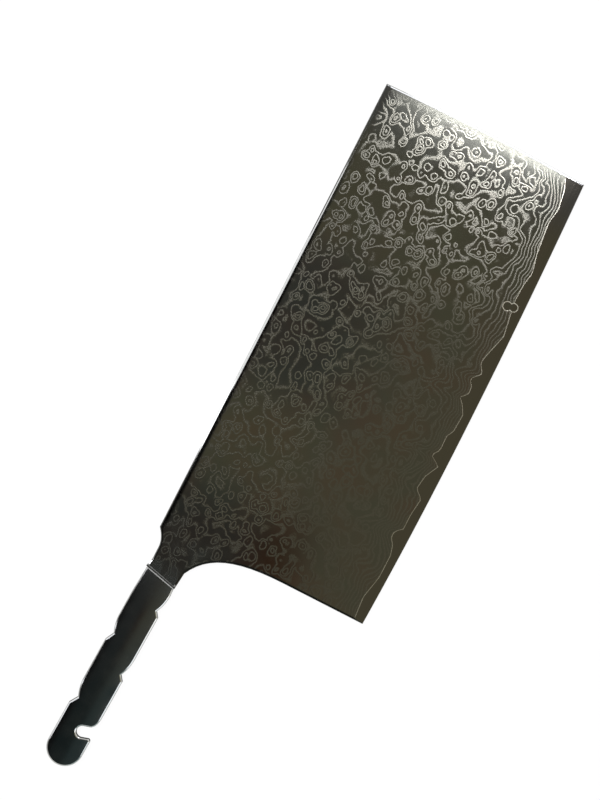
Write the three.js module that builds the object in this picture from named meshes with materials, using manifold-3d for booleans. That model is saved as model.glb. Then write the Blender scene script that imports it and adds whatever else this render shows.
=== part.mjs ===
// A clad blade blank for a tall vegetable knife, with a stick tang welded to its neck and no handle.
// It lies flat: X runs from the tang to the tip, Y from the cutting edge to the spine, Z up out of the
// shown face. Millimetres. The blade is drawn with the middle of the weld at X = 0 and the spine on Y = 0.
import * as THREE from "three";
import { mergeVertices } from "three/addons/utils/BufferGeometryUtils.js";
import Module from "manifold-3d";

const wasm = await Module();
wasm.setup();

// Blade outline
const BLADE_LENGTH = 202.9; // heel to the tip, along the cutting edge
const TIP_HEIGHT = 91.3;
const HEEL_HEIGHT = 92.6;
const TIP_LEAN = 0.2; // the tip reaches this much further at the edge than at the spine
const TIP_BOW = 0.8; // how far the end of the blade bows out between its corners
const EDGE_BELLY = 1.95; // how far the cutting edge bows out past a straight line
const BELLY_FROM_HEEL = 82; // where that bow pulls most
const HEEL_STRAIGHT = 36.6; // upright stretch of the heel, above the edge
const EASED_WIDTH = 0.9; // rounding along every side of the blade, as wide as this on each face
const EASED_DEPTH = 0.45; // and this deep at the spine

// Blade section: a flat grind from the spine down to the bare core at the cutting edge
const SPINE_THICKNESS = 2.4;
const CORE_THICKNESS = 0.6;

// Neck
const NECK_LENGTH = 20.5; // middle of the weld to the heel
const NECK_DROP = 9.7; // spine down to the middle of the weld
const SHOULDER_BEHIND_HEEL = 2.3;
const SHOULDER_RUN = 7.7;
const SHOULDER_DROP = 3.3;
const SHOULDER_FLAT = 3.5;
const CHOIL_END = 5.5; // where the sweep up from the heel meets the neck, in front of the weld
const CHOIL_DROP = 8.1; // and how far below the middle of the weld it meets it
const CHOIL_UPRIGHT_PULL = 22; // how long the sweep keeps the heel's direction
const CHOIL_NECK_PULL = 12; // and how long it keeps the direction in which it leaves
const CHOIL_EXIT_ANGLE = 26.6;

// Weld
const WELD_LENGTH = 15.1; // across the neck
const WELD_WIDTH = 0.6;
const WELD_SLANT = 13; // degrees off square to the spine
const WELD_SINK = 0.3; // below the faces of the tang, at the bottom of a groove
const WELD_CHAMFER = 0.35; // each side of that groove, on the neck and on the tang

// Tang, measured from the weld
const TANG_LENGTH = 88.3;
const TANG_WIDTH = 14.8;
const TANG_FRONT_WIDTH = 14;
const TANG_FRONT_LENGTH = 10.5; // where the front has widened to the full width
const TANG_HEAD_WIDTH = 15.6;
const TANG_THICKNESS = 2.2;
const TANG_RISE = 2.1; // degrees that it climbs towards the spine as it runs back
const ROLLED_EDGE = 0.65; // edges rounded over by stamping and tumbling
const ROLLED_DEPTH = 0.55;

// Barbs that hold the tang in a handle: a long ramp in, then a short ledge out
const BARB_PITCH = 30;
const BARB_DEPTH = 1.8;
const BARB_RAMP = 8;
const FIRST_SPINE_BARB = 29.7;
const SPINE_BARB_LEDGE = 3.7;
const FIRST_EDGE_BARB = 13.3;
const EDGE_BARB_LEDGE = 2.3;

// Hook slot near the end of the tang, open towards the edge side
const HOOK_FROM_END = 16.7; // end of the tang to the middle of the slot's round bottom
const HOOK_OFF_AXIS = 3;
const HOOK_WIDTH = 4.9;
const HOOK_LEAN = 19; // degrees that its mouth leans towards the blade
const HOOK_FRONT_LIP = 5; // reach of the wide rounding on the blade side of the mouth
const HOOK_FRONT_LIP_DEPTH = 2.6;
const HOOK_REAR_LIP = 0.35; // radius of the rear corner of the mouth, on the flat inside the rolled edge

// Cladding line on the shown face: [share of the way from heel to tip, height above the edge]
const CLAD_LINE = [
  [0, 3.8], [0.05, 5], [0.1, 3.2], [0.15, 3.4], [0.17, 4.6], [0.185, 6.8], [0.2, 6.4], [0.207, 3.9],
  [0.245, 3.9], [0.28, 3.1], [0.295, 6.8], [0.325, 6], [0.355, 3], [0.37, 7.8], [0.385, 5.5], [0.42, 5.6],
  [0.43, 4.1], [0.47, 3.6], [0.49, 5.8], [0.503, 8.5], [0.511, 5.4], [0.53, 5.6], [0.543, 7.8], [0.563, 4],
  [0.582, 6.7], [0.607, 5.5], [0.65, 2.9], [0.725, 5.2], [0.765, 4.7], [0.79, 3.6], [0.83, 5.3], [0.9, 6.5],
  [0.93, 5.1], [0.97, 6.2], [1, 8.4],
];
const CLAD_STEP = 1.5; // spacing of the points along the line

// Facets
const CURVE_STEPS = 12;
const EDGE_STEPS = 40;
const EASED_STEPS = 3;
const ROLL_STEPS = 3;
const MERGE_DISTANCE = 1e-5; // points closer than this are one point
const CUTTER_REACH = 4; // cutting shapes are this many times as large as what they cut

// Worked out from the sizes above
const radians = THREE.MathUtils.degToRad;
const GRIND_HEIGHT = (TIP_HEIGHT + HEEL_HEIGHT) / 2 + EDGE_BELLY;
const weldMiddle = new THREE.Vector2(0, -NECK_DROP);
const hookFromWeld = TANG_LENGTH - HOOK_FROM_END;
const heelX = NECK_LENGTH;
const tipX = heelX + BLADE_LENGTH;
const weldSlant = radians(WELD_SLANT);
const edgeCurve = new THREE.QuadraticBezierCurve(
  new THREE.Vector2(heelX, -HEEL_HEIGHT),
  new THREE.Vector2(heelX + BELLY_FROM_HEEL, -(TIP_HEIGHT + HEEL_HEIGHT) / 2 - 2 * EDGE_BELLY),
  new THREE.Vector2(tipX, -TIP_HEIGHT),
);

// A point on a line across the neck or tang, slanted from square by an angle: how far it lies in front
// of the middle of the weld, square to that line, and how far up along it.
function slantedPoint(middle, slant, front, up) {
  const across = new THREE.Vector2(Math.cos(slant), -Math.sin(slant));
  const along = new THREE.Vector2(Math.sin(slant), Math.cos(slant));
  return middle.clone().addScaledVector(across, front).addScaledVector(along, up);
}

function solidOf(geometry) {
  const bare = geometry.clone().deleteAttribute("normal").deleteAttribute("uv");
  const merged = mergeVertices(bare, MERGE_DISTANCE);
  const vertProperties = merged.attributes.position.array;
  const triVerts = new Uint32Array(merged.index.array);
  return new wasm.Manifold(new wasm.Mesh({ numProp: 3, vertProperties, triVerts }));
}

function geometryOf(solid) {
  const mesh = solid.getMesh();
  const indexed = new THREE.BufferGeometry();
  indexed.setAttribute("position", new THREE.BufferAttribute(mesh.vertProperties, 3));
  indexed.setIndex(new THREE.BufferAttribute(mesh.triVerts, 1));
  const geometry = indexed.toNonIndexed();
  geometry.computeVertexNormals();
  return geometry;
}

// Takes away all that lies beyond one side of the weld, and chamfers the corners that are left beside it.
// The side is 1 for the neck, whose end faces back, and -1 for the tang.
function cutForWeld(solid, side, middle, slant) {
  const far = (CUTTER_REACH * TANG_LENGTH) / 2;
  const faceZ = TANG_THICKNESS / 2;
  const grooveZ = faceZ - WELD_SINK;
  const outsideZ = faceZ + SPINE_THICKNESS;
  const face = (side * WELD_WIDTH) / 2;
  const flare = face + side * WELD_CHAMFER * ((outsideZ - grooveZ) / WELD_SINK);
  const section = new THREE.Shape();
  section.moveTo(-side * far, -outsideZ);
  section.lineTo(flare, -outsideZ);
  section.lineTo(face, -grooveZ);
  section.lineTo(face, grooveZ);
  section.lineTo(flare, outsideZ);
  section.lineTo(-side * far, outsideZ);
  section.closePath();
  const cutter = new THREE.ExtrudeGeometry(section, { depth: 2 * far, bevelEnabled: false });
  cutter.translate(0, 0, -far).rotateX(Math.PI / 2).rotateZ(-slant).translate(middle.x, middle.y, 0);
  return solid.subtract(solidOf(cutter));
}

// The neck runs on past the weld here, to be cut back to it later.
function bladeOutline() {
  const weldTop = slantedPoint(weldMiddle, weldSlant, 0, WELD_LENGTH / 2);
  const neckEnd = -2 * EASED_WIDTH;
  const neckEndTop = slantedPoint(weldMiddle, weldSlant, neckEnd, WELD_LENGTH / 2);
  const neckEndBottom = slantedPoint(weldMiddle, weldSlant, neckEnd, -WELD_LENGTH / 2);
  const weldBottom = slantedPoint(weldMiddle, weldSlant, 0, -WELD_LENGTH / 2);
  const shoulderX = heelX - SHOULDER_BEHIND_HEEL;
  const flatX = shoulderX - SHOULDER_RUN;
  const flareX = flatX - SHOULDER_FLAT;
  const choilEnd = new THREE.Vector2(CHOIL_END, weldMiddle.y - CHOIL_DROP);
  const choilStart = new THREE.Vector2(heelX, -HEEL_HEIGHT + HEEL_STRAIGHT);
  const choilExit = radians(CHOIL_EXIT_ANGLE);
  const outline = new THREE.Shape();
  outline.moveTo(tipX - TIP_LEAN, 0);
  outline.lineTo(shoulderX, 0);
  outline.quadraticCurveTo(shoulderX - SHOULDER_RUN / 2, -SHOULDER_DROP, flatX, -SHOULDER_DROP);
  outline.lineTo(flareX, -SHOULDER_DROP);
  outline.quadraticCurveTo((flareX + weldTop.x) / 2, -SHOULDER_DROP, weldTop.x, weldTop.y);
  outline.lineTo(neckEndTop.x, neckEndTop.y);
  outline.lineTo(neckEndBottom.x, neckEndBottom.y);
  outline.lineTo(weldBottom.x, weldBottom.y);
  outline.lineTo(choilEnd.x, choilEnd.y);
  outline.bezierCurveTo(
    choilEnd.x + CHOIL_NECK_PULL * Math.cos(choilExit),
    choilEnd.y - CHOIL_NECK_PULL * Math.sin(choilExit),
    choilStart.x,
    choilStart.y + CHOIL_UPRIGHT_PULL,
    choilStart.x,
    choilStart.y,
  );
  edgeCurve.getPoints(EDGE_STEPS).forEach((point) => outline.lineTo(point.x, point.y));
  outline.quadraticCurveTo(tipX - TIP_LEAN / 2 + 2 * TIP_BOW, -TIP_HEIGHT / 2, tipX - TIP_LEAN, 0);
  return outline;
}

// The whole laminate before it is parted: the outline as a plate, then thinned towards the edge.
function groundBlade() {
  const plate = new THREE.ExtrudeGeometry(bladeOutline(), {
    depth: SPINE_THICKNESS - 2 * EASED_DEPTH,
    curveSegments: CURVE_STEPS,
    bevelSize: EASED_WIDTH,
    bevelOffset: -EASED_WIDTH,
    bevelThickness: EASED_DEPTH,
    bevelSegments: EASED_STEPS,
  });
  plate.translate(0, 0, EASED_DEPTH - SPINE_THICKNESS / 2);
  const position = plate.attributes.position;
  for (let i = 0; i < position.count; i += 1) {
    const down = -position.getY(i) / GRIND_HEIGHT;
    const thickness = THREE.MathUtils.lerp(SPINE_THICKNESS, CORE_THICKNESS, down);
    position.setZ(i, (position.getZ(i) * thickness) / SPINE_THICKNESS);
  }
  return cutForWeld(solidOf(plate), 1, weldMiddle, weldSlant);
}

function cladHeight(share) {
  const next = Math.max(1, CLAD_LINE.findIndex((point) => point[0] >= share));
  const [fromShare, fromHeight] = CLAD_LINE[next - 1];
  const [toShare, toHeight] = CLAD_LINE[next];
  return THREE.MathUtils.mapLinear(share, fromShare, toShare, fromHeight, toHeight);
}

// All that lies below the cladding line, where the grind has bared the core, over the whole thickness.
function baredZone() {
  const margin = SPINE_THICKNESS;
  const steps = Math.round(BLADE_LENGTH / CLAD_STEP);
  const zone = new THREE.Shape();
  zone.moveTo(heelX - margin, -GRIND_HEIGHT - margin);
  zone.lineTo(tipX + margin, -GRIND_HEIGHT - margin);
  zone.lineTo(tipX + margin, edgeCurve.getPoint(1).y + cladHeight(1));
  for (let step = steps; step >= 0; step -= 1) {
    const onEdge = edgeCurve.getPoint(step / steps);
    zone.lineTo(onEdge.x, onEdge.y + cladHeight((onEdge.x - heelX) / BLADE_LENGTH));
  }
  zone.lineTo(heelX - margin, edgeCurve.getPoint(0).y + cladHeight(0));
  zone.closePath();
  const depth = CUTTER_REACH * SPINE_THICKNESS;
  const prism = new THREE.ExtrudeGeometry(zone, { depth, bevelEnabled: false });
  return solidOf(prism.translate(0, 0, -depth / 2));
}

// A slab that reaches past the whole blade, from one level up to another.
function slab(lowZ, highZ) {
  const size = CUTTER_REACH * BLADE_LENGTH;
  const plate = new THREE.BoxGeometry(size, size, highZ - lowZ);
  return solidOf(plate.translate(0, 0, (lowZ + highZ) / 2));
}

// The core keeps what the two claddings leave.
function laminate() {
  const blade = groundBlade();
  const bared = baredZone();
  const halfCore = CORE_THICKNESS / 2;
  const frontSpace = slab(halfCore, SPINE_THICKNESS).subtract(bared);
  const backSpace = slab(-SPINE_THICKNESS, -halfCore).subtract(bared);
  return {
    core: geometryOf(blade.subtract(frontSpace).subtract(backSpace)),
    front: geometryOf(blade.intersect(frontSpace)),
    back: geometryOf(blade.intersect(backSpace)),
  };
}

function weldSeam() {
  const frontUp = [[1, 1], [-1, 1], [-1, -1], [1, -1]];
  const corners = frontUp.map(([front, up]) =>
    slantedPoint(weldMiddle, weldSlant, (front * WELD_WIDTH) / 2, (up * WELD_LENGTH) / 2),
  );
  const depth = TANG_THICKNESS - 2 * WELD_SINK;
  const strip = new THREE.ExtrudeGeometry(new THREE.Shape(corners), { depth, bevelEnabled: false });
  return strip.translate(0, 0, -depth / 2);
}

// How far from the weld the bottom of each barb lies, for those whose ledge ends before a limit.
function barbPlaces(first, ledge, limit) {
  const places = [];
  for (let bottom = first; bottom + ledge < limit; bottom += BARB_PITCH) {
    places.push(bottom);
  }
  return places;
}

// The tang is drawn straight, running back along -X from the middle of the weld. Its front runs on past
// the weld here, to be cut back to it later.
function tangOutline() {
  const half = TANG_WIDTH / 2;
  const frontHalf = TANG_FRONT_WIDTH / 2;
  const headRadius = TANG_HEAD_WIDTH / 2;
  const headStart = TANG_LENGTH - headRadius;
  const spineBarbs = barbPlaces(FIRST_SPINE_BARB, SPINE_BARB_LEDGE, headStart);
  const hookStart = hookFromWeld - HOOK_WIDTH - HOOK_FRONT_LIP;
  const edgeBarbs = barbPlaces(FIRST_EDGE_BARB, EDGE_BARB_LEDGE, hookStart);
  const outline = new THREE.Shape();

  outline.moveTo(TANG_FRONT_WIDTH, frontHalf);
  outline.lineTo(0, frontHalf);
  outline.lineTo(-TANG_FRONT_LENGTH, half);
  for (const bottom of spineBarbs) {
    const ledgeTop = bottom === spineBarbs.at(-1) ? headRadius : half;
    outline.lineTo(BARB_RAMP - bottom, half);
    outline.quadraticCurveTo(BARB_RAMP / 2 - bottom, half, -bottom, half - BARB_DEPTH);
    outline.lineTo(-bottom - SPINE_BARB_LEDGE, ledgeTop);
  }
  outline.absarc(-headStart, 0, headRadius, Math.PI / 2, (3 * Math.PI) / 2, false);
  hookSlot(outline, half, headRadius);
  for (const bottom of edgeBarbs.reverse()) {
    outline.lineTo(-bottom - EDGE_BARB_LEDGE, -half);
    outline.lineTo(-bottom, BARB_DEPTH - half);
    outline.quadraticCurveTo(BARB_RAMP / 2 - bottom, -half, BARB_RAMP - bottom, -half);
  }
  outline.lineTo(0, -frontHalf);
  outline.lineTo(TANG_FRONT_WIDTH, -frontHalf);
  outline.closePath();
  return outline;
}

// The slot is met from the round end: rear lip, rear wall, round bottom, front wall, front lip.
function hookSlot(outline, half, headRadius) {
  const lean = radians(HOOK_LEAN);
  const radius = HOOK_WIDTH / 2;
  const centre = new THREE.Vector2(-hookFromWeld, -HOOK_OFF_AXIS);
  const outwards = new THREE.Vector2(Math.sin(lean), -Math.cos(lean));
  const backwards = new THREE.Vector2(-Math.cos(lean), -Math.sin(lean));
  const lipRadius = ROLLED_EDGE + HOOK_REAR_LIP;
  const rearLip = centre.clone().addScaledVector(backwards, radius + lipRadius);
  rearLip.addScaledVector(outwards, (headRadius - lipRadius + rearLip.y) / Math.cos(lean));
  const frontWall = centre.clone().addScaledVector(backwards, -radius);
  const frontMouth = frontWall.clone().addScaledVector(outwards, (half + frontWall.y) / Math.cos(lean));
  const frontLip = frontMouth.clone().addScaledVector(outwards, -HOOK_FRONT_LIP_DEPTH);

  outline.absarc(rearLip.x, rearLip.y, lipRadius, -Math.PI / 2, lean, false);
  outline.absarc(centre.x, centre.y, radius, Math.PI + lean, lean, true);
  outline.lineTo(frontLip.x, frontLip.y);
  outline.quadraticCurveTo(frontMouth.x, frontMouth.y, frontMouth.x + HOOK_FRONT_LIP, -half);
}

function tangGeometry() {
  const tang = new THREE.ExtrudeGeometry(tangOutline(), {
    depth: TANG_THICKNESS - 2 * ROLLED_DEPTH,
    curveSegments: CURVE_STEPS,
    bevelSize: ROLLED_EDGE,
    bevelOffset: -ROLLED_EDGE,
    bevelThickness: ROLLED_DEPTH,
    bevelSegments: ROLL_STEPS,
  });
  tang.translate(0, 0, ROLLED_DEPTH - TANG_THICKNESS / 2);
  const slant = weldSlant - radians(TANG_RISE);
  return geometryOf(cutForWeld(solidOf(tang), -1, new THREE.Vector2(), slant));
}

function steel(colour, roughness) {
  return new THREE.MeshStandardMaterial({ color: colour, roughness, metalness: 1 });
}

function piece(name, geometry, material) {
  const mesh = new THREE.Mesh(geometry, material);
  mesh.name = name;
  return mesh;
}

const cladSteel = steel("#6b675c", 0.3);
const layers = laminate();
const tang = piece("tang", tangGeometry(), steel("#3a3a38", 0.2));
tang.position.set(weldMiddle.x, weldMiddle.y, 0);
tang.rotation.z = -radians(TANG_RISE);

const blank = new THREE.Group();
blank.add(piece("cutting_core", layers.core, steel("#4a4944", 0.2)));
blank.add(piece("front_cladding", layers.front, cladSteel));
blank.add(piece("back_cladding", layers.back, cladSteel));
blank.add(piece("weld_seam", weldSeam(), steel("#55544f", 0.35)));
blank.add(tang);

// The origin is under the middle of the blank, at the level of its lowest point.
const box = new THREE.Box3().setFromObject(blank, true);
const middle = box.getCenter(new THREE.Vector3());
blank.position.set(-middle.x, -middle.y, -box.min.z);

const part = new THREE.Group();
part.add(blank);

export default part;
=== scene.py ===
"""A clad, pattern-welded vegetable-knife blade with a welded tang, seen from above on a white table."""
import math

import bmesh
import bpy
from mathutils import Matrix, Vector


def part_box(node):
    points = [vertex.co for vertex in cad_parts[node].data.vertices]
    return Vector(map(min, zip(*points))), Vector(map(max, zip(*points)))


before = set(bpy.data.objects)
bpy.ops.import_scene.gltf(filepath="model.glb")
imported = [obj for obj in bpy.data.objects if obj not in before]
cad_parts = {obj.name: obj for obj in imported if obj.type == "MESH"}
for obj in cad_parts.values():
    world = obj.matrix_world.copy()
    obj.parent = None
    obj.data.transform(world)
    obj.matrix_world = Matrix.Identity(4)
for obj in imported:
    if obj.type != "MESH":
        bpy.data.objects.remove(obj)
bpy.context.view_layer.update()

MM = 0.001
WHITE = "#ffffff"

# View: straight down, turned so that the tip points up and to the right
CAMERA_HEIGHT = 420 * MM
VIEW_CENTRE = Vector((23.0, 18.9, 2.2)) * MM
VIEW_TALL = 329.2 * MM
VIEW_TURN = math.radians(-62.85)
SENSOR = 36.0
CLIP_START = 10 * MM

# Table
TABLE_SIZE = 6000 * MM
TABLE_GAP = 0.05 * MM
TABLE_COLOUR = "#f8f8f8"
TABLE_GLOW = 0.95

# Lamps, flat panels over the table: where their reflections fall along and across the plane of the blade,
# in millimetres, and their radiance
LAMP_HEIGHT = 1200 * MM
LAMP_COLOUR = "#f4f5ff"
LAMPS = {
    "tip_lamp": ((164, 184), (-46, 20), 60.0),
    "tip_edge_lamp": ((192, 760), (-90, 80), 2.2),
    "spine_lamp": ((15, 121), (122, 760), 8.0),
    "heel_lamp": ((-35, 15), (200, 760), 18.0),
    "barb_lamp": ((-64, -22), (150, 235), 2.0),
    "tang_lamp": ((-165, -75), (-260, -85), 1.7),
    "tang_end_lamp": ((-158, -133), (150, 260), 2.0),
}

# Room: the light overhead, then the places where it changes. Each has its limits, the factor on the light
# there, and the light's colour there. A limit is a side, and the angles from straight overhead towards it,
# in degrees, between which the change sets in.
OVERHEAD = 0.42
OVERHEAD_COLOUR = "#fffadd"
COOL = "#f4f6ff"
TO_TIP = Vector((1, 0, 0))
TO_HEEL = Vector((-1, 0, 0))
TO_SPINE = Vector((0, 1, 0))
AROUND_HEEL = ((TO_HEEL, (4.5, 8.5)), (TO_SPINE, (-6.5, -3.5)))
BEYOND_TIP = ((TO_SPINE, (-9.0, -6.8)), (TO_SPINE, (2.2, 0.0)), (TO_TIP, (23.0, 19.0)))
ALONG_SPINE = ((TO_TIP, (-2.0, 1.5)), (TO_TIP, (9.2, 7.0)), (TO_SPINE, (-6.5, 0.0)))
ROOM = {
    "dull along the spine": (ALONG_SPINE, 0.54, WHITE),
    "dark heel": (AROUND_HEEL, 0.42, "#eef5f8"),
    "brown choil": (AROUND_HEEL + ((TO_SPINE, (-1.2, -4.2)),), 1.0, "#ffb47c"),
    "dark end of the tang": (((TO_HEEL, (14.5, 19.0)),), 0.62, "#d4fbff"),
    "dark beyond the spine": (((TO_SPINE, (6.0, 11.0)), (TO_TIP, (15.0, 9.0))), 0.05, WHITE),
    "cool tip": (((TO_TIP, (13.5, 16.5)),), 1.0, COOL),
    "bright tip": (BEYOND_TIP + ((TO_TIP, (15.3, 18.6)),), 10.0, COOL),
    "brightest at its end": (BEYOND_TIP + ((TO_TIP, (16.6, 17.8)),), 1.2, COOL),
}

# Walls: the angles from straight overhead between which they take over, in degrees, and their glow
WALL_ANGLES = (35.0, 50.0)
WALL_GLOW = 1.0

# Most of a noise texture lies between these values
NOISE_LOW, NOISE_HIGH = 0.3, 0.7

# Pattern of the cladding, in millimetres and in layers of the stack
BEND_SIZE = 7.0
BEND_REACH = 1.7
SWELL_SIZE = 13.0
SWELL_LAYERS = 5.0
EYE_SPACING = 5.1
EYE_STRETCH = 1.25
EYE_SCATTER = 0.85
EYE_MELT = 0.5
EYE_LAYERS = (1.0, 2.4)
EYE_REACH = (0.42, 0.62)  # in spacings
EYES_START = (4.0, 13.0)  # heights above the border between which they set in
STACK_REACH = 17.0  # height above the border up to which the layers lie closer
STACK_LAYERS = 8.0
STACK_POWER = 1.5
PROBE = 0.12  # step over which the slope of the layers is taken
LINE_HALF = 0.26
LINE_FADE = (0.2, 1.5)  # in half widths of a line
CLOUD_FADE = (0.05, 0.28)  # in layers: a layer that lies nearly level with the face shows as a cloud
GRAIN_SIZE = 0.7
GRAIN_SPAN = (0.35, 0.6)
GRAIN_LEAST = 0.15
BACK_SHIFT = Vector((310, 170, 0))  # the back shows the figure of another place

# First layer along the border, and the loop that it makes across it, in millimetres
BORDER_ENDS = (-46.5, 155.2)  # just inside the heel and the tip
BORDER_TOP = -25.0  # no corner of the border lies above this
BORDER_SLACK = 0.01
FIRST_LAYER_WIDTH = 0.28
FIRST_LAYER_BLUR = 0.1
JAG_SIZE = 0.8
JAG_REACH = 0.3
LOBES = (((97.0, -42.1), 1.8), ((96.4, -39.5), 1.9))  # middle and radius of each, on the front face
LOOP_FADE = (0.1, 0.3)
FAR = 100.0  # stands for anywhere off the loop

# Wear and tarnish of the cladding, and painted shade on its layers, in millimetres
SHADE_BELOW = (12.0, -10.0)  # places across the blade between which the layers are painted darker: painted shade
SHADE_BEHIND = (106.0, 72.0)  # and places along it
TIP_WORN = (8.5, 1.5)  # distances from the tip between which the layers wear off
TIP_FROST = (6.0, 3.0)  # and between which a thin frost sets in
TIP_FROST_SHARE = 0.16
DUBBED_WIDTH = 2.4  # strip along the spine that the polish has rounded off
DUBBED_DROP = 0.12
EASED_WIDTH = 0.9  # eased edge between that strip and the side
RELIEF = 0.006  # height of the bright layers over the ground
TINT_SIZE = 22.0
BROWN_SPAN = (0.4, 0.65)
BROWN_FADE = (60.0, 130.0)  # places along the blade between which the brown tint fades
SMOKE_SIZE = 4.0
GROUND_ROUGH = (0.065, 0.09)

# Leans, in degrees, above which a surface is part of an eased edge, and part of an upright side
EASED_LEAN = 2.0
SIDE_LEAN = 55.0
SIDE_TURN = 0.08  # share of its normal at which a side counts fully as facing a way

# Colour and roughness of coats that more than one piece or place has
LAYER_COAT = ("#706e64", 0.27)
FIRST_LAYER_COAT = ("#a8a396", 0.26)
# The ground side that faces the spine is the same steel as the one that faces the tip, painted darker:
# painted shade
SHADED_SPINE_SIDE_COAT = ("#5b5b57", 0.06)
TIP_SIDE_COAT = ("#b4b4b0", 0.06)
# Upright sides are rough, and painted darker for the shadow of the blank on the table that they reflect:
# painted shade
ROUGH_SHADED_SIDE_COAT = ("#5a5a57", 0.3)

# Etched steel stays darker at a grazing angle than clean steel does
GRAZING_TINT = "#a0a0a0"

# Grinding lines of the core, in millimetres, drawn coarser than real ones so that they show
GRIND_SIZE = 0.6
GRIND_STRETCH = 20.0
GRIND_DEPTH = 0.001
CORE_ROUGH = (0.04, 0.06)

# Weld and tang, in millimetres
WELD_SLANT = math.radians(13)
WELD_RIPPLE = 0.8
WELD_DEPTH = 0.08
BEAD_ROUGH = (0.3, 0.5)
GROOVE_REACH = 1.3
HAZE_ON_NECK = 36.0
HAZE_ON_TANG = 20.0
HAZE_BLOTCH = 7.0
HAZE_RAGGED = 1.6  # in shares of the haze's reach
HAZE_FADE = (0.5, 1.7)  # likewise
TANG_LEAN = math.radians(2.1)
TANG_CROWN = 0.008
TANG_CREST = 2.5
TANG_ROUGH = (0.12, 0.2)
SPECK_SPACING = 4.0
SPECK_RADIUS = 0.22
SPECK_MIDDLE = 0.5  # share of the radius over which a speck is full

MIX_A, MIX_B, MIX_OUT = 6, 7, 2  # colour sockets of the Mix node
MIX_LOW, MIX_HIGH = 2, 3  # its number sockets
MIX_FROM, MIX_TO, MIX_NORMAL = 4, 5, 1  # and its vector sockets

# Places taken from the frame, in millimetres
core_low, core_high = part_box("cutting_core")
MIDDLE_PLANE = (core_low[2] + core_high[2]) / 2 / MM
clad_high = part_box("front_cladding")[1]
SPINE = clad_high[1] / MM - EASED_WIDTH
TIP = clad_high[0] / MM
weld_low, weld_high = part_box("weld_seam")
WELD_MIDDLE = (Vector(weld_low) + Vector(weld_high)) / 2 / MM


def linear(colour):
    """Linear red, green, blue and alpha from an sRGB hex colour."""
    parts = [int(colour[i : i + 2], 16) / 255 for i in (1, 3, 5)]
    return [p / 12.92 if p <= 0.04045 else ((p + 0.055) / 1.055) ** 2.4 for p in parts] + [1.0]


def add(tree, kind, inputs=None, out=0, **settings):
    """Adds a node with its settings, sets or links its inputs, and gives back one of its outputs."""
    node = tree.nodes.new("ShaderNode" + kind)
    for name, value in settings.items():
        setattr(node, name, value)
    for socket, value in (inputs or {}).items():
        if isinstance(value, bpy.types.NodeSocket):
            tree.links.new(value, node.inputs[socket])
        else:
            node.inputs[socket].default_value = value
    return node.outputs[out] if node.outputs else node


def new_material(name):
    """A node material with nothing in it, and its node tree."""
    material = bpy.data.materials.new(name)
    material.use_nodes = True
    material.node_tree.nodes.clear()
    return material, material.node_tree


def millimetres(tree):
    """The point on the piece, in millimetres of the part's own frame."""
    place = add(tree, "TexCoord", out="Object")
    return add(tree, "VectorMath", {0: place, "Scale": 1 / MM}, operation="SCALE")


def coated_steel(tree, colour, rough, coats, normal):
    """Steel whose colour and roughness give way to those of each coat by its share, later coats on top."""
    for share, coat_colour, coat_rough in coats:
        colour = add(
            tree, "Mix", {0: share, MIX_A: colour, MIX_B: linear(coat_colour)}, out=MIX_OUT, data_type="RGBA"
        )
        rough = add(tree, "Mix", {0: share, MIX_LOW: rough, MIX_HIGH: coat_rough}, data_type="FLOAT")
    steel = add(
        tree,
        "BsdfPrincipled",
        {
            "Base Color": colour,
            "Metallic": 1.0,
            "Roughness": rough,
            "Specular Tint": linear(GRAZING_TINT),
            "Normal": normal,
        },
    )
    add(tree, "OutputMaterial", {0: steel})


def layer_level(tree, point, height):
    """How many layers of the stack the grind has cut through at a point."""
    bend = add(
        tree,
        "TexNoise",
        {"Vector": point, "Scale": 1 / BEND_SIZE, "Detail": 2.0},
        out="Color",
        noise_dimensions="2D",
    )
    reach = (2 * BEND_REACH, 2 * BEND_REACH, 0)
    bent = add(tree, "VectorMath", {0: bend, 1: reach, 2: point}, operation="MULTIPLY_ADD")
    swell = add(
        tree, "TexNoise", {"Vector": bent, "Scale": 1 / SWELL_SIZE, "Detail": 1.0}, noise_dimensions="2D"
    )
    stretched = add(tree, "VectorMath", {0: bent, 1: (1 / EYE_STRETCH, 1, 1)}, operation="MULTIPLY")
    eyes = add(
        tree,
        "TexVoronoi",
        {"Vector": stretched, "Scale": 1 / EYE_SPACING, "Smoothness": EYE_MELT, "Randomness": EYE_SCATTER},
        voronoi_dimensions="2D",
        feature="SMOOTH_F1",
    )
    chance = add(tree, "SeparateColor", {0: eyes.node.outputs["Color"]}).node.outputs
    reach = add(tree, "MapRange", {0: chance[1], 3: EYE_REACH[0], 4: EYE_REACH[1]})
    dimple = add(
        tree, "MapRange", {0: eyes, 1: 0.0, 2: reach, 3: 1.0, 4: 0.0}, interpolation_type="SMOOTHSTEP"
    )
    depth = add(tree, "MapRange", {0: chance[0], 3: EYE_LAYERS[0], 4: EYE_LAYERS[1]})
    clear = add(
        tree,
        "MapRange",
        {0: height, 1: EYES_START[0], 2: EYES_START[1]},
        interpolation_type="SMOOTHSTEP",
    )
    eye = add(tree, "Math", {0: dimple, 1: depth}, operation="MULTIPLY")
    eye = add(tree, "Math", {0: eye, 1: clear}, operation="MULTIPLY")
    swollen = add(tree, "Math", {0: swell, 1: SWELL_LAYERS, 2: eye}, operation="MULTIPLY_ADD")
    share = add(tree, "MapRange", {0: height, 1: 0.0, 2: STACK_REACH, 3: 1.0, 4: 0.0})
    steep = add(tree, "Math", {0: share, 1: STACK_POWER}, operation="POWER")
    return add(tree, "Math", {0: steep, 1: STACK_LAYERS, 2: swollen}, operation="MULTIPLY_ADD")


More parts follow.
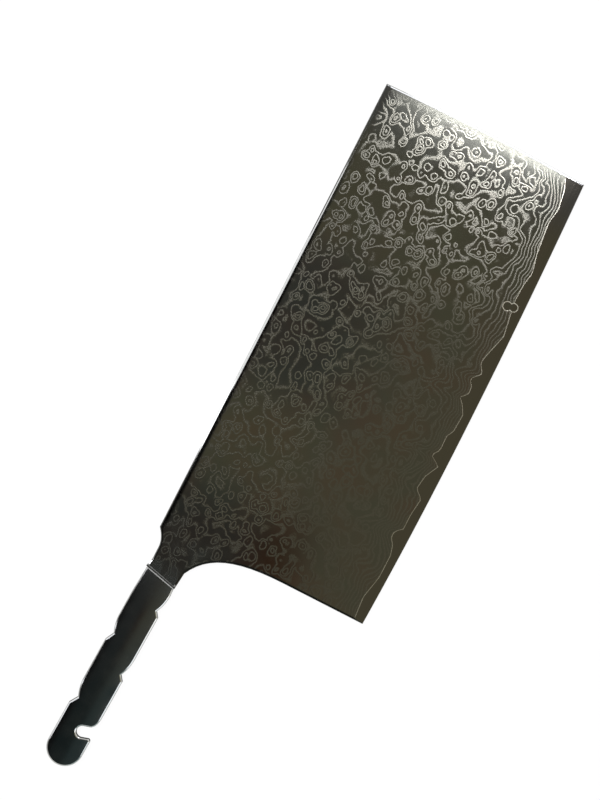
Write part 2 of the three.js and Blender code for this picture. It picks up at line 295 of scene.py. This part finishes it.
def border_corners():
    """Corners of the cladding's lower border, from heel to tip, in millimetres."""
    vertices = [vertex.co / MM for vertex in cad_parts["front_cladding"].data.vertices]
    foot = min(place.z for place in vertices)
    corners = set()
    for x, y, z in vertices:
        if BORDER_ENDS[0] < x < BORDER_ENDS[1] and y < BORDER_TOP and z < foot + BORDER_SLACK:
            corners.add((round(x, 2), round(y, 2)))
    return sorted(corners)


def height_above_border(tree, point, corners):
    """Height of a point above the cladding's lower border, in millimetres."""
    axis = add(tree, "SeparateXYZ", {0: point}).node.outputs
    heel, tip = corners[0][0], corners[-1][0]
    bottom = min(y for x, y in corners)
    top = max(y for x, y in corners)
    share = add(tree, "MapRange", {0: axis[0], 1: heel, 2: tip})
    curve = add(tree, "FloatCurve", {"Value": share})
    line = curve.node.mapping.curves[0]
    for x, y in corners[1:-1]:
        line.points.new((x - heel) / (tip - heel), (y - bottom) / (top - bottom))
    ends = (line.points[0], line.points[len(line.points) - 1])
    for end, (x, y) in zip(ends, (corners[0], corners[-1])):
        end.location = ((x - heel) / (tip - heel), (y - bottom) / (top - bottom))
    for handle in line.points:
        handle.handle_type = "VECTOR"
    curve.node.mapping.update()
    border = add(tree, "MapRange", {0: curve, 3: bottom, 4: top})
    return add(tree, "Math", {0: axis[1], 1: border}, operation="SUBTRACT")


def bright_layers(tree, point, height, shift):
    """1 where a bright layer comes to the face, 0 on the dark ground between."""
    levels = []
    for probe in ((0, 0, 0), (PROBE, 0, 0), (0, PROBE, 0)):
        at = add(tree, "VectorMath", {0: point, 1: Vector(probe) + shift}, operation="ADD")
        rise = add(tree, "Math", {0: height, 1: probe[1]}, operation="ADD")
        levels.append(layer_level(tree, at, rise))
    along = add(tree, "Math", {0: levels[1], 1: levels[0]}, operation="SUBTRACT")
    across = add(tree, "Math", {0: levels[2], 1: levels[0]}, operation="SUBTRACT")
    slope = add(tree, "CombineXYZ", {0: along, 1: across})
    steep = add(tree, "VectorMath", {0: slope}, out="Value", operation="LENGTH")
    # Distance from the nearest whole layer, against half a line's width in layers
    off = add(tree, "Math", {0: levels[0], 1: 0.5}, operation="PINGPONG")
    half = add(tree, "Math", {0: steep, 1: LINE_HALF / PROBE}, operation="MULTIPLY")
    ratio = add(tree, "Math", {0: off, 1: half}, operation="DIVIDE")
    line = add(
        tree,
        "MapRange",
        {0: ratio, 1: LINE_FADE[0], 2: LINE_FADE[1], 3: 1.0, 4: 0.0},
        interpolation_type="SMOOTHSTEP",
    )
    grain = add(
        tree, "TexNoise", {"Vector": point, "Scale": 1 / GRAIN_SIZE, "Detail": 3.0}, noise_dimensions="2D"
    )
    patchy = add(tree, "MapRange", {0: grain, 1: GRAIN_SPAN[0], 2: GRAIN_SPAN[1], 3: GRAIN_LEAST, 4: 1.0})
    cloud = add(
        tree,
        "MapRange",
        {0: off, 1: CLOUD_FADE[0], 2: CLOUD_FADE[1], 3: 1.0, 4: 0.0},
        interpolation_type="SMOOTHSTEP",
    )
    cloud = add(tree, "Math", {0: cloud, 1: patchy}, operation="MULTIPLY")
    return add(tree, "Math", {0: line, 1: cloud}, operation="MAXIMUM")


def steeper(tree, angle):
    """1 where the surface leans by more than an angle, in degrees, and 0 where it is nearer level."""
    normal = add(tree, "TexCoord", out="Normal")
    upwards = add(tree, "SeparateXYZ", {0: normal}, out="Z")
    level = add(tree, "Math", {0: upwards}, operation="ABSOLUTE")
    return add(tree, "Math", {0: level, 1: math.cos(math.radians(angle))}, operation="LESS_THAN")


def ground_side(tree, outwards):
    """1 on a side of the blade that faces outwards and is ground smooth after the etch."""
    side = steeper(tree, EASED_LEAN)
    normal = add(tree, "TexCoord", out="Normal")
    facing = add(tree, "VectorMath", {0: normal, 1: outwards}, out="Value", operation="DOT_PRODUCT")
    turned = add(tree, "MapRange", {0: facing, 1: 0.0, 2: SIDE_TURN})
    return add(tree, "Math", {0: side, 1: turned}, operation="MULTIPLY")


def distance_to_weld(tree, point):
    """Distance of a point from the middle of the weld, square to it, in millimetres."""
    square_to_weld = Vector((math.cos(WELD_SLANT), -math.sin(WELD_SLANT), 0))
    offset = add(tree, "VectorMath", {0: point, 1: WELD_MIDDLE}, operation="SUBTRACT")
    away = add(tree, "VectorMath", {0: offset, 1: square_to_weld}, out="Value", operation="DOT_PRODUCT")
    return add(tree, "Math", {0: away}, operation="ABSOLUTE")


def weld_haze(tree, point, reach):
    """1 at the weld, fading raggedly with the distance from it: the matt skin that the welding heat left."""
    distance = distance_to_weld(tree, point)
    blotch = add(tree, "TexNoise", {"Vector": point, "Scale": 1 / HAZE_BLOTCH, "Detail": 5.0})
    ragged = add(tree, "Math", {0: blotch, 1: HAZE_RAGGED * reach, 2: distance}, operation="MULTIPLY_ADD")
    return add(
        tree,
        "MapRange",
        {0: ragged, 1: HAZE_FADE[0] * reach, 2: HAZE_FADE[1] * reach, 3: 1.0, 4: 0.0},
        interpolation_type="SMOOTHSTEP",
    )


def groove_sides(tree, point):
    """1 on the sloping sides of the weld's groove."""
    side = steeper(tree, EASED_LEAN)
    distance = distance_to_weld(tree, point)
    near = add(tree, "Math", {0: distance, 1: GROOVE_REACH}, operation="LESS_THAN")
    return add(tree, "Math", {0: side, 1: near}, operation="MULTIPLY")


def outside_loop(tree, point):
    """How far a point lies outside the loop of two lobes that the first layer makes across the border."""
    height = add(tree, "SeparateXYZ", {0: point}, out="Z")
    level = add(tree, "VectorMath", {0: point, 1: (1, 1, 0)}, operation="MULTIPLY")
    nearest = FAR
    for (x, y), radius in LOBES:
        away = add(tree, "VectorMath", {0: level, 1: (x, y, 0)}, out="Value", operation="DISTANCE")
        outside = add(tree, "Math", {0: away, 1: radius}, operation="SUBTRACT")
        nearest = add(tree, "Math", {0: nearest, 1: outside}, operation="MINIMUM")
    back = add(tree, "Math", {0: height, 1: MIDDLE_PLANE}, operation="LESS_THAN")
    return add(tree, "Math", {0: back, 1: FAR, 2: nearest}, operation="MULTIPLY_ADD")


def along_loop(tree, outside):
    """1 on the thin line of that loop."""
    off = add(tree, "Math", {0: outside}, operation="ABSOLUTE")
    return add(tree, "MapRange", {0: off, 1: LOOP_FADE[0], 2: LOOP_FADE[1], 3: 1.0, 4: 0.0})


def first_layer_line(tree, point, height, outside, clear_of_loop):
    """1 on the first layer: a jagged line along the border, and the line of its loop."""
    jag = add(
        tree, "TexNoise", {"Vector": point, "Scale": 1 / JAG_SIZE, "Detail": 2.0}, noise_dimensions="2D"
    )
    jagged = add(tree, "Math", {0: jag, 1: JAG_REACH, 2: height}, operation="MULTIPLY_ADD")
    top = FIRST_LAYER_WIDTH + JAG_REACH / 2
    line = add(
        tree,
        "MapRange",
        {0: jagged, 1: top - FIRST_LAYER_BLUR, 2: top + FIRST_LAYER_BLUR, 3: 1.0, 4: 0.0},
    )
    line = add(tree, "Math", {0: line, 1: clear_of_loop}, operation="MULTIPLY")
    return add(tree, "Math", {0: line, 1: along_loop(tree, outside)}, operation="MAXIMUM")


def tarnished_ground(tree, point, along):
    """Colour of the etched ground between the layers, in part browner towards the heel."""
    oxide = add(tree, "TexNoise", {"Vector": point, "Scale": 1 / TINT_SIZE, "Detail": 2.0})
    brown = add(tree, "MapRange", {0: oxide, 1: BROWN_SPAN[0], 2: BROWN_SPAN[1]})
    to_heel = add(tree, "MapRange", {0: along, 1: BROWN_FADE[0], 2: BROWN_FADE[1], 3: 1.0, 4: 0.0})
    brown = add(tree, "Math", {0: brown, 1: to_heel}, operation="MULTIPLY")
    return add(
        tree,
        "Mix",
        {0: brown, MIX_A: linear("#5d5d55"), MIX_B: linear("#635a51")},
        out=MIX_OUT,
        data_type="RGBA",
    )


def damascus(name, shift):
    """Pattern-welded cladding, polished and etched: frosted bright layers on a dark, dully shining ground."""
    material, tree = new_material(name)
    point = millimetres(tree)
    along, across, _ = add(tree, "SeparateXYZ", {0: point}).node.outputs
    height = height_above_border(tree, point, border_corners())
    outside = outside_loop(tree, point)
    clear_of_loop = add(tree, "Math", {0: outside, 1: 0.0}, operation="GREATER_THAN")

    # Layers, worn off at the spine and the tip
    near_spine = add(tree, "MapRange", {0: across, 1: SPINE - DUBBED_WIDTH, 2: SPINE})
    near_tip = add(tree, "MapRange", {0: along, 1: TIP - TIP_WORN[0], 2: TIP - TIP_WORN[1]})
    worn = add(tree, "Math", {0: near_spine, 1: near_tip}, operation="MAXIMUM")
    unworn = add(tree, "MapRange", {0: worn, 3: 1.0, 4: 0.0})
    layers = bright_layers(tree, point, height, shift)
    layers = add(tree, "Math", {0: layers, 1: unworn}, operation="MULTIPLY")
    layers = add(tree, "Math", {0: layers, 1: clear_of_loop}, operation="MULTIPLY")

    # Layers painted darker and smoother on the edge side of the heel half, as painted shade, and thin frost
    # at the tip
    below = add(tree, "MapRange", {0: across, 1: SHADE_BELOW[0], 2: SHADE_BELOW[1]})
    behind = add(tree, "MapRange", {0: along, 1: SHADE_BEHIND[0], 2: SHADE_BEHIND[1]})
    dull = add(tree, "Math", {0: below, 1: behind}, operation="MULTIPLY")
    shaded_layers = add(tree, "Math", {0: layers, 1: dull}, operation="MULTIPLY")
    frost = add(
        tree,
        "MapRange",
        {0: along, 1: TIP - TIP_FROST[0], 2: TIP - TIP_FROST[1], 4: TIP_FROST_SHARE},
    )

    smoke = add(tree, "TexNoise", {"Vector": point, "Scale": 1 / SMOKE_SIZE, "Detail": 2.0})
    rough = add(
        tree, "MapRange", {0: smoke, 1: NOISE_LOW, 2: NOISE_HIGH, 3: GROUND_ROUGH[0], 4: GROUND_ROUGH[1]}
    )
    coats = [
        (layers, *LAYER_COAT),
        # layers painted darker and smoother on the edge side of the heel half: painted shade
        (shaded_layers, "#636158", 0.19),
        (frost, *LAYER_COAT),
        (weld_haze(tree, point, HAZE_ON_NECK), "#545654", 0.28),
        (first_layer_line(tree, point, height, outside, clear_of_loop), *FIRST_LAYER_COAT),
        # eased edges painted darker than the etched ground where they face away from the lamps: painted shade
        (steeper(tree, EASED_LEAN), "#33322e", 0.1),
        # ground side facing the spine, painted darker than the one facing the tip: painted shade
        (ground_side(tree, TO_SPINE), *SHADED_SPINE_SIDE_COAT),
        # upright sides, rough and painted darker for the table's shadow that they reflect: painted shade
        (steeper(tree, SIDE_LEAN), *ROUGH_SHADED_SIDE_COAT),
        (ground_side(tree, TO_TIP), *TIP_SIDE_COAT),
        (groove_sides(tree, point), "#888884", 0.8),
    ]
    dubbed = add(tree, "Math", {0: near_spine, 1: 2.0}, operation="POWER")
    fall = add(tree, "Math", {0: dubbed, 1: -DUBBED_DROP}, operation="MULTIPLY")
    surface = add(tree, "Math", {0: layers, 1: RELIEF, 2: fall}, operation="MULTIPLY_ADD")
    relief = add(tree, "Bump", {"Height": surface, "Distance": MM, "Strength": 1.0})
    coated_steel(tree, tarnished_ground(tree, point, along), rough, coats, relief)
    return material


def core_steel():
    """Hard core steel, etched dark and polished: a dull dark mirror with faint grinding lines along it."""
    material, tree = new_material("core_steel")
    point = millimetres(tree)
    drawn_out = add(tree, "VectorMath", {0: point, 1: (1 / GRIND_STRETCH, 1, 1)}, operation="MULTIPLY")
    grinding = add(tree, "TexNoise", {"Vector": drawn_out, "Scale": 1 / GRIND_SIZE, "Detail": 3.0})
    rough = add(
        tree, "MapRange", {0: grinding, 1: NOISE_LOW, 2: NOISE_HIGH, 3: CORE_ROUGH[0], 4: CORE_ROUGH[1]}
    )
    lines = add(tree, "Bump", {"Height": grinding, "Distance": GRIND_DEPTH * MM, "Strength": 1.0})
    ground = add(
        tree,
        "Mix",
        {0: grinding, MIX_A: linear("#5d5a51"), MIX_B: linear("#615d54")},
        out=MIX_OUT,
        data_type="RGBA",
    )
    coats = [
        (along_loop(tree, outside_loop(tree, point)), *FIRST_LAYER_COAT),
        # ground side facing the spine, painted darker than the one facing the tip: painted shade
        (ground_side(tree, TO_SPINE), *SHADED_SPINE_SIDE_COAT),
        (ground_side(tree, TO_TIP), *TIP_SIDE_COAT),
    ]
    coated_steel(tree, ground, rough, coats, lines)
    return material


def tang_steel():
    """Stamped and tumbled steel whose dark colour is a painted reflection of the dark surroundings: a glossy,
    slightly crowned dark face with bright rolled edges.
    """
    material, tree = new_material("tang_steel")
    point = millimetres(tree)
    sideways = Vector((math.sin(TANG_LEAN), math.cos(TANG_LEAN), 0))
    offset = add(tree, "VectorMath", {0: point, 1: WELD_MIDDLE}, operation="SUBTRACT")
    across = add(tree, "VectorMath", {0: offset, 1: sideways}, out="Value", operation="DOT_PRODUCT")
    across = add(tree, "Math", {0: across, 1: TANG_CREST}, operation="SUBTRACT")
    square = add(tree, "Math", {0: across, 1: 2.0}, operation="POWER")
    crown = add(tree, "Math", {0: square, 1: -TANG_CROWN}, operation="MULTIPLY")
    crowned = add(tree, "Bump", {"Height": crown, "Distance": MM, "Strength": 1.0})
    rolled = steeper(tree, EASED_LEAN)
    flat = add(tree, "NewGeometry", out="Normal")
    normal = add(
        tree, "Mix", {0: rolled, MIX_FROM: crowned, MIX_TO: flat}, out=MIX_NORMAL, data_type="VECTOR"
    )
    pits = add(tree, "TexVoronoi", {"Vector": point, "Scale": 1 / SPECK_SPACING}, feature="F1")
    radius = SPECK_RADIUS / SPECK_SPACING
    speck = add(tree, "MapRange", {0: pits, 1: SPECK_MIDDLE * radius, 2: radius, 3: 1.0, 4: 0.0})
    cloud = add(tree, "TexNoise", {"Vector": point, "Scale": 1 / HAZE_BLOTCH, "Detail": 4.0})
    # Dark colour of the face: a painted reflection of the dark surroundings, with a tone that varies at
    # random
    face = add(
        tree,
        "Mix",
        {0: cloud, MIX_A: linear("#525353"), MIX_B: linear("#5e5d59")},
        out=MIX_OUT,
        data_type="RGBA",
    )
    rough = add(
        tree, "MapRange", {0: cloud, 1: NOISE_LOW, 2: NOISE_HIGH, 3: TANG_ROUGH[0], 4: TANG_ROUGH[1]}
    )
    coats = [
        (weld_haze(tree, point, HAZE_ON_TANG), "#525351", 0.28),
        (speck, "#8a8a86", 0.3),
        (rolled, "#c4c4c0", 0.1),
        # upright sides, rough and painted darker for the table's shadow that they reflect: painted shade
        (steeper(tree, SIDE_LEAN), *ROUGH_SHADED_SIDE_COAT),
        (groove_sides(tree, point), "#a6a6a2", 0.6),
    ]
    coated_steel(tree, face, rough, coats, normal)
    return material


def weld_bead():
    """Fused weld metal at the bottom of its groove: dark, matt and rippled."""
    material, tree = new_material("weld_bead")
    point = millimetres(tree)
    ripple = add(tree, "TexNoise", {"Vector": point, "Scale": 1 / WELD_RIPPLE, "Detail": 3.0})
    rippled = add(tree, "Bump", {"Height": ripple, "Distance": WELD_DEPTH * MM, "Strength": 1.0})
    metal = add(
        tree,
        "Mix",
        {0: ripple, MIX_A: linear("#2e2e2c"), MIX_B: linear("#4a4946")},
        out=MIX_OUT,
        data_type="RGBA",
    )
    rough = add(tree, "MapRange", {0: ripple, 3: BEAD_ROUGH[0], 4: BEAD_ROUGH[1]})
    coated_steel(tree, metal, rough, [], rippled)
    return material


def dress(node, material):
    """Gives a carried-over solid its material."""
    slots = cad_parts[node].data.materials
    slots.clear()
    slots.append(material)


def white_table():
    """Pale matt table that shows as white and still takes the blank's shadow."""
    shape = bmesh.new()
    bmesh.ops.create_grid(shape, x_segments=1, y_segments=1, size=TABLE_SIZE / 2)
    bmesh.ops.translate(shape, vec=(0, 0, -TABLE_GAP), verts=shape.verts)
    mesh = bpy.data.meshes.new("table")
    shape.to_mesh(mesh)
    shape.free()
    table = bpy.data.objects.new("table", mesh)
    bpy.context.scene.collection.objects.link(table)
    material, tree = new_material("white_card")
    path = add(tree, "LightPath").node.outputs
    seen = add(tree, "Math", {0: path["Is Camera Ray"], 1: path["Is Glossy Ray"]}, operation="MAXIMUM")
    seen = add(tree, "Math", {0: seen, 1: path["Is Transmission Ray"]}, operation="MAXIMUM")
    share = add(tree, "Math", {0: seen, 1: TABLE_GLOW}, operation="MULTIPLY")
    card = add(tree, "BsdfDiffuse", {"Color": linear(TABLE_COLOUR)})
    glow = add(tree, "Emission", {"Color": linear(WHITE), "Strength": 1.0})
    mixed = add(tree, "MixShader", {0: share, 1: card, 2: glow})
    add(tree, "OutputMaterial", {0: mixed})
    mesh.materials.append(material)


def soft_light(name, along, across, radiance):
    """A panel that faces the table, and whose reflection covers a stretch of the blade's plane."""
    spread = (CAMERA_HEIGHT + LAMP_HEIGHT) / CAMERA_HEIGHT
    light = bpy.data.lights.new(name, "AREA")
    light.shape = "RECTANGLE"
    light.size = (along[1] - along[0]) * spread
    light.size_y = (across[1] - across[0]) * spread
    light.energy = radiance * math.pi * light.size * light.size_y
    light.color = linear(LAMP_COLOUR)[:3]
    lamp = bpy.data.objects.new(name, light)
    seen = Vector((sum(along) / 2, sum(across) / 2, 0))
    foot = Vector((VIEW_CENTRE.x, VIEW_CENTRE.y, 0))
    lamp.location = foot + (seen - foot) * spread + Vector((0, 0, LAMP_HEIGHT))
    bpy.context.scene.collection.objects.link(lamp)


def room():
    """Warm light overhead that changes with the direction, and white walls all round."""
    world = bpy.data.worlds.new("room")
    bpy.context.scene.world = world
    world.use_nodes = True
    tree = world.node_tree
    tree.nodes.clear()
    direction = add(tree, "TexCoord", out="Generated")
    upwards = add(tree, "SeparateXYZ", {0: direction}, out="Z")
    strength = OVERHEAD
    colour = linear(OVERHEAD_COLOUR)
    for limits, factor, tint in ROOM.values():
        place = 1.0
        for side, angles in limits:
            reach = add(tree, "VectorMath", {0: direction, 1: side}, out="Value", operation="DOT_PRODUCT")
            first, last = (math.sin(math.radians(angle)) for angle in angles)
            past = add(tree, "MapRange", {0: reach, 1: first, 2: last}, interpolation_type="SMOOTHSTEP")
            place = add(tree, "Math", {0: place, 1: past}, operation="MULTIPLY")
        change = add(tree, "MapRange", {0: place, 3: 1.0, 4: factor})
        strength = add(tree, "Math", {0: strength, 1: change}, operation="MULTIPLY")
        colour = add(
            tree, "Mix", {0: place, MIX_A: colour, MIX_B: linear(tint)}, out=MIX_OUT, data_type="RGBA"
        )
    top, foot = (math.cos(math.radians(angle)) for angle in WALL_ANGLES)
    wall = add(tree, "MapRange", {0: upwards, 1: foot, 2: top, 3: 1.0, 4: 0.0})
    strength = add(tree, "Mix", {0: wall, MIX_LOW: strength, MIX_HIGH: WALL_GLOW}, data_type="FLOAT")
    colour = add(
        tree, "Mix", {0: wall, MIX_A: colour, MIX_B: linear(WHITE)}, out=MIX_OUT, data_type="RGBA"
    )
    light = add(tree, "Background", {"Color": colour, "Strength": strength})
    add(tree, "OutputWorld", {0: light})


def camera():
    """Looks straight down on the blank."""
    lens = bpy.data.cameras.new("camera")
    lens.sensor_fit = "VERTICAL"
    lens.sensor_height = SENSOR
    lens.lens = SENSOR * CAMERA_HEIGHT / VIEW_TALL
    lens.clip_start = CLIP_START
    body = bpy.data.objects.new("camera", lens)
    lift = Vector((0, 0, CAMERA_HEIGHT))
    body.matrix_world = Matrix.Translation(VIEW_CENTRE + lift) @ Matrix.Rotation(VIEW_TURN, 4, "Z")
    bpy.context.scene.collection.objects.link(body)
    bpy.context.scene.camera = body


bpy.context.scene.view_settings.view_transform = "Standard"
dress("front_cladding", damascus("damascus_front", Vector((0, 0, 0))))
dress("back_cladding", damascus("damascus_back", BACK_SHIFT))
dress("cutting_core", core_steel())
dress("tang", tang_steel())
dress("weld_seam", weld_bead())
white_table()
room()
for lamp_name, (lamp_along, lamp_across, lamp_radiance) in LAMPS.items():
    soft_light(lamp_name, Vector(lamp_along) * MM, Vector(lamp_across) * MM, lamp_radiance)
camera()
